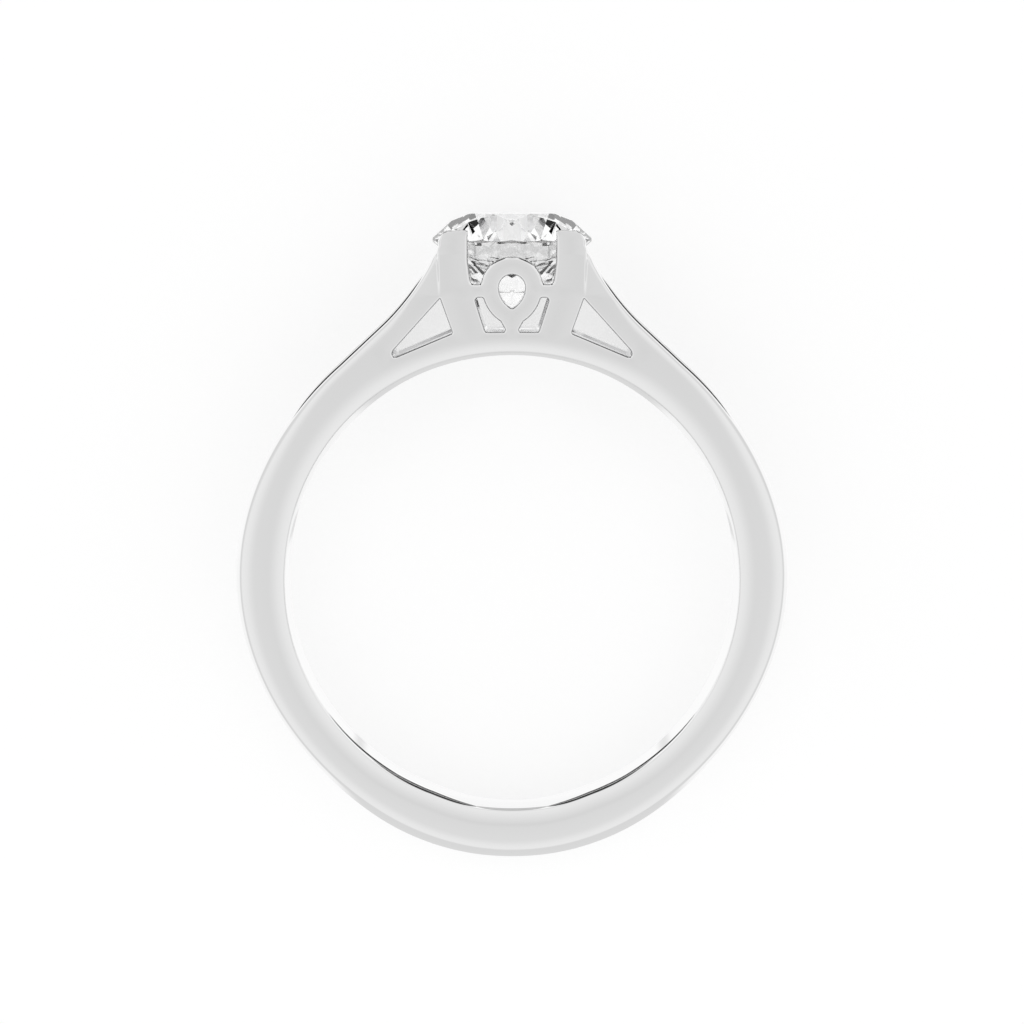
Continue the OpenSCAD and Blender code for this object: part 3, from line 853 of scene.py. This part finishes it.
def node(kind, *values, **settings):
    """A node with its inputs filled in order: a link where the value is a socket."""
    made = sky.nodes.new(kind)
    for name, value in settings.items():
        setattr(made, name, value)
    for socket, value in zip(made.inputs, values):
        if isinstance(value, bpy.types.NodeSocket):
            sky.links.new(value, socket)
        else:
            socket.default_value = value
    return made.outputs[0]


def maths(operation, *values):
    """A maths node with one operation on its values."""
    return node("ShaderNodeMath", *values, operation=operation)


def times(a, b):
    """The product of two values."""
    return maths("MULTIPLY", a, b)


def one_less(value):
    """What is left of 1 when the value is taken away."""
    return maths("SUBTRACT", 1.0, value)


def step_between(value, low, high, start=0.0, end=1.0):
    """A smooth step from start to end as the value goes from low to high."""
    return node("ShaderNodeMapRange", value, low, high, start, end, interpolation_type="SMOOTHSTEP")


direction = sky.nodes.new("ShaderNodeTexCoord").outputs["Generated"]
parts = sky.nodes.new("ShaderNodeSeparateXYZ")
sky.links.new(direction, parts.inputs[0])
across, along, up = parts.outputs
across = maths("ABSOLUTE", across)
level = maths("SQRT", maths("ADD", times(across, across), times(along, along)))

# The angle from the middle of the patch is a share of 180 degrees, as the ramp wants it
PATCH_LEAN = np.radians(15)
cosine = maths("ADD", times(along, -np.sin(PATCH_LEAN)), times(up, np.cos(PATCH_LEAN)))
angle = maths("DIVIDE", maths("ARCCOSINE", cosine), np.pi)
ramp = sky.nodes.new("ShaderNodeValToRGB")
sky.links.new(angle, ramp.inputs["Fac"])
UPPER_LIGHT = [(0, 0.7), (5, 0.732), (10, 0.758), (18, 0.797), (26, 0.838), (34, 0.862), (42, 0.87)]
UPPER_LIGHT += [(47, 0.73), (90, 0.73)]
for i, (degrees, value) in enumerate(UPPER_LIGHT):
    stop = ramp.color_ramp.elements[i] if i < 2 else ramp.color_ramp.elements.new(degrees / 180)
    stop.position = degrees / 180
    stop.color = (value, value, value, 1)

palm_side = maths("DIVIDE", times(along, -1), level)
towards_head = step_between(along, -0.05, 0.05, 0.96, 1.0)
surround = times(towards_head, step_between(palm_side, 0.75, 0.84, 1.0, 0.76))


def panel(turn, half_turn, height, half_height):
    """Strength of an oval dark panel: 1 within it and 0 outside. Its turn is from the x axis to the
    head, and its height is the upward part of the direction."""
    turn, half_turn = np.radians([turn, half_turn])
    facing = maths("ADD", times(across, np.cos(turn)), times(along, np.sin(turn)))
    sideways = maths("DIVIDE", one_less(maths("DIVIDE", facing, level)), 1 - np.cos(half_turn))
    upward = maths("DIVIDE", maths("SUBTRACT", up, height), half_height)
    return step_between(maths("ADD", sideways, times(upward, upward)), 0.9, 1.12, 1.0, 0.0)


# How dark the black panels are and how bright the grey one is, how much of both is lost through
# the stone, and how much brighter the studio is there
BLACK, BLACK_LOST = 0.97, 0.93
GREY, GREY_LOST = 0.52, 0.8
STONE_CARD = 0.2
# The surround starts between these angles from the patch, and farther down on the palm side
SURROUND_FROM, SURROUND_TO, PALM_SHIFT = 52 / 180, 62 / 180, -26 / 180
light_path = sky.nodes.new("ShaderNodeLightPath")
through_stone = maths("MINIMUM", light_path.outputs["Transmission Depth"], 1.0)
black = maths("MAXIMUM", panel(60, 17, 0.05, 0.7), panel(44, 13, -0.55, 0.42))
black = times(black, maths("SUBTRACT", BLACK, times(through_stone, BLACK_LOST)))
grey = times(panel(90, 13, 0.05, 0.66), one_less(times(through_stone, GREY_LOST)))
surround = times(surround, one_less(black))
surround = maths("ADD", times(surround, one_less(grey)), times(grey, GREY))
palm_shift = step_between(along, -0.05, 0.25, PALM_SHIFT, 0.0)
aside = step_between(maths("ADD", angle, palm_shift), SURROUND_FROM, SURROUND_TO)
light = maths("ADD", times(ramp.outputs["Color"], one_less(aside)), times(surround, aside))
sky.links.new(light, background.inputs["Color"])
sky.links.new(maths("ADD", 1.0, times(through_stone, STONE_CARD)), background.inputs["Strength"])
bpy.context.scene.view_settings.view_transform = "Standard"
print("studio nodes:", len(sky.nodes))

# %% Tying the pieces to the frame
for piece in (mount, *rails):
    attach(piece, "root")
    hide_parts("ring_mount")
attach(stone, "root")
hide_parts("centre_stone")
